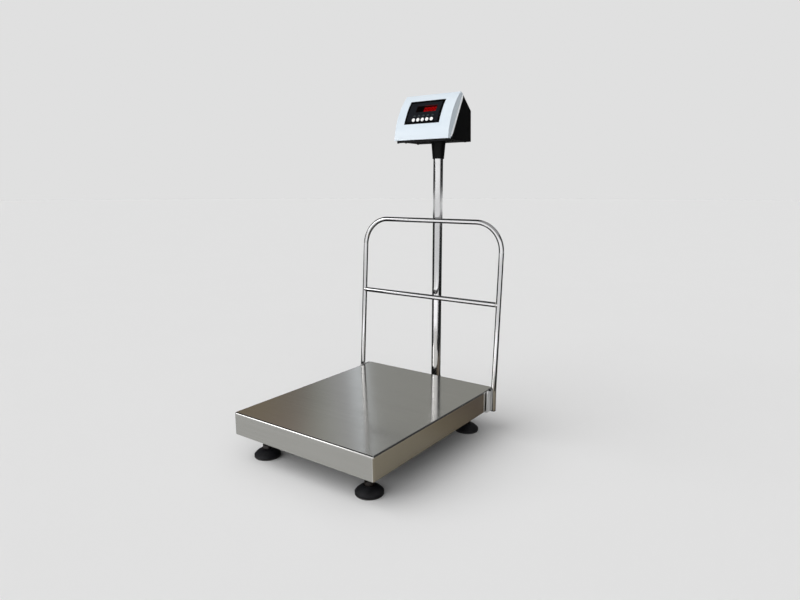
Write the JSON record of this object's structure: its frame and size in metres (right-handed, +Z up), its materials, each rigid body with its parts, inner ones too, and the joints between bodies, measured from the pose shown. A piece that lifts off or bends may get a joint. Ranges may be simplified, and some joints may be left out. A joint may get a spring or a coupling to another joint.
{
  "type": "animal weighing scale",
  "caption": "Platform scale for weighing animals: stainless pan on levelling feet, tubular guard rail behind it, and a pole with a swivelling digital display.",
  "frame": {"origin": "on the floor, at the centre of the bottom of the whole scale's box, which is 36.9 mm behind the pan's centre", "axes": "+X to the scale's right seen from the front, +Y from the front towards the guard rail and pole, +Z up"},
  "size_m": [0.4352, 0.5738, 0.8461],
  "materials": {
    "stainless_pan": "brushed stainless sheet",
    "stainless_bracket": "brushed stainless plate",
    "polished_tube": "polished stainless tube",
    "frame_paint": "satin dark grey powder coat",
    "zinc_steel": "zinc plated",
    "black_steel": "black oxide",
    "cell_aluminium": "anodised",
    "foot_rubber": "smooth black rubber",
    "black_plastic": "fine black texture",
    "cover_white": "cool white semi-gloss",
    "overlay_film": "satin black film",
    "red_window": "dark red filter",
    "led_module": "black with red segments",
    "key_white": "white",
    "board_green": "solder mask",
    "cable_grey": "PVC jacket",
    "battery_wrap": "shrink wrap",
    "level_body": "machined",
    "level_vial": "tinted vial"
  },
  "bodies": {
    "base": {"base_frame": "frame_paint", "foot_lock_nuts": "black_steel", "overload_stop_screws": "zinc_steel", "overload_stop_nuts": "zinc_steel", "spirit_level_body": "level_body", "spirit_level_vial": "level_vial", "load_cell": "cell_aluminium", "lower_cell_spacer": "zinc_steel", "lower_cell_screws": "zinc_steel", "guard_rail": "polished_tube", "rail_crossbar": "polished_tube", "rail_end_plugs": "black_plastic", "rail_bracket_left": "stainless_bracket", "rail_bracket_right": "stainless_bracket", "rail_bracket_bolts": "zinc_steel", "rail_buffers": "foot_rubber", "pole_bracket": "frame_paint", "pole_bracket_bolts": "zinc_steel", "pole": "polished_tube", "pole_collar": "black_plastic", "pole_clamp_screw": "zinc_steel", "signal_cable": "cable_grey", "cable_clips": "black_plastic", "cable_grommets": "foot_rubber"},
    "platform": {"top_frame": "frame_paint", "upper_cell_spacer": "zinc_steel", "upper_cell_screws": "zinc_steel", "pan_bumpers": "foot_rubber"},
    "pan": {"pan": "stainless_pan", "pan_rivets": "stainless_pan", "pan_stiffeners": "frame_paint"},
    "head": {"neck": "black_plastic", "neck_clamp_screw": "black_steel", "head_base_plate": "black_plastic", "head_rear_housing": "black_plastic", "head_front_cover": "cover_white", "display_overlay": "overlay_film", "display_window": "red_window", "led_display": "led_module", "main_board": "board_green", "battery": "battery_wrap", "housing_screws": "black_steel", "power_inlet": "black_plastic", "switch_bezel": "black_plastic", "head_lead": "cable_grey"},
    "power_rocker": {"power_rocker": "black_plastic"},
    "key_1": {"key_1": "key_white"},
    "key_2": {"key_2": "key_white"},
    "key_3": {"key_3": "key_white"},
    "key_4": {"key_4": "key_white"},
    "key_5": {"key_5": "key_white"},
    "foot_pad_front_left": {"foot_pad_front_left": "foot_rubber"},
    "foot_stud_front_left": {"foot_stud_front_left": "black_steel"},
    "foot_pad_front_right": {"foot_pad_front_right": "foot_rubber"},
    "foot_stud_front_right": {"foot_stud_front_right": "black_steel"},
    "foot_pad_rear_left": {"foot_pad_rear_left": "foot_rubber"},
    "foot_stud_rear_left": {"foot_stud_rear_left": "black_steel"},
    "foot_pad_rear_right": {"foot_pad_rear_right": "foot_rubber"},
    "foot_stud_rear_right": {"foot_stud_rear_right": "black_steel"}
  },
  "joints": [
    {"name": "platform_load", "type": "slide", "parent": "base", "child": "platform", "axis": [0, 0, -1], "range_m": [0, 0.0004], "stiffness_N_per_m": 3700000, "deforming": ["load_cell"]},
    {"name": "pan_lift", "type": "slide", "parent": "platform", "child": "pan", "axis": [0, 0, 1], "range_m": [0, 0.09]},
    {"name": "head_swivel", "type": "hinge", "parent": "base", "child": "head", "pos_m": [0, 0.25358, 0.687], "axis": [0, 0, 1], "range_deg": [-90, 90]},
    {"name": "power_rocker_tilt", "type": "hinge", "parent": "head", "child": "power_rocker", "pos_m": [0.018, 0.28252, 0.748], "axis": [1, 0, 0], "range_deg": [0, 12]},
    {"name": "key_1_press", "type": "slide", "parent": "head", "child": "key_1", "axis": [0, 0.9272, -0.3746], "range_m": [0, 0.0007], "stiffness_N_per_m": 1200, "springref_m": -0.0006},
    {"name": "key_2_press", "type": "slide", "parent": "head", "child": "key_2", "axis": [0, 0.9272, -0.3746], "range_m": [0, 0.0007], "stiffness_N_per_m": 1200, "springref_m": -0.0006},
    {"name": "key_3_press", "type": "slide", "parent": "head", "child": "key_3", "axis": [0, 0.9272, -0.3746], "range_m": [0, 0.0007], "stiffness_N_per_m": 1200, "springref_m": -0.0006},
    {"name": "key_4_press", "type": "slide", "parent": "head", "child": "key_4", "axis": [0, 0.9272, -0.3746], "range_m": [0, 0.0007], "stiffness_N_per_m": 1200, "springref_m": -0.0006},
    {"name": "key_5_press", "type": "slide", "parent": "head", "child": "key_5", "axis": [0, 0.9272, -0.3746], "range_m": [0, 0.0007], "stiffness_N_per_m": 1200, "springref_m": -0.0006},
    {"name": "foot_front_left_height", "type": "slide", "parent": "base", "child": "foot_pad_front_left", "axis": [0, 0, 1], "range_m": [-0.00875, 0.00525]},
    {"name": "foot_front_left_screw", "type": "hinge", "parent": "foot_pad_front_left", "child": "foot_stud_front_left", "pos_m": [-0.1506, -0.23752, 0], "axis": [0, 0, 1], "range_deg": [-1801, 1081]},
    {"name": "foot_front_right_height", "type": "slide", "parent": "base", "child": "foot_pad_front_right", "axis": [0, 0, 1], "range_m": [-0.00875, 0.00525]},
    {"name": "foot_front_right_screw", "type": "hinge", "parent": "foot_pad_front_right", "child": "foot_stud_front_right", "pos_m": [0.1506, -0.23752, 0], "axis": [0, 0, 1], "range_deg": [-1801, 1081]},
    {"name": "foot_rear_left_height", "type": "slide", "parent": "base", "child": "foot_pad_rear_left", "axis": [0, 0, 1], "range_m": [-0.00875, 0.00525]},
    {"name": "foot_rear_left_screw", "type": "hinge", "parent": "foot_pad_rear_left", "child": "foot_stud_rear_left", "pos_m": [-0.1506, 0.16368, 0], "axis": [0, 0, 1], "range_deg": [-1801, 1081]},
    {"name": "foot_rear_right_height", "type": "slide", "parent": "base", "child": "foot_pad_rear_right", "axis": [0, 0, 1], "range_m": [-0.00875, 0.00525]},
    {"name": "foot_rear_right_screw", "type": "hinge", "parent": "foot_pad_rear_right", "child": "foot_stud_rear_right", "pos_m": [0.1506, 0.16368, 0], "axis": [0, 0, 1], "range_deg": [-1801, 1081]}
  ],
  "couplings": [
    {"joint": "foot_front_left_screw", "follows": "foot_front_left_height", "rad_per_m": 3590.4},
    {"joint": "foot_front_right_screw", "follows": "foot_front_right_height", "rad_per_m": 3590.4},
    {"joint": "foot_rear_left_screw", "follows": "foot_rear_left_height", "rad_per_m": 3590.4},
    {"joint": "foot_rear_right_screw", "follows": "foot_rear_right_height", "rad_per_m": 3590.4}
  ]
}
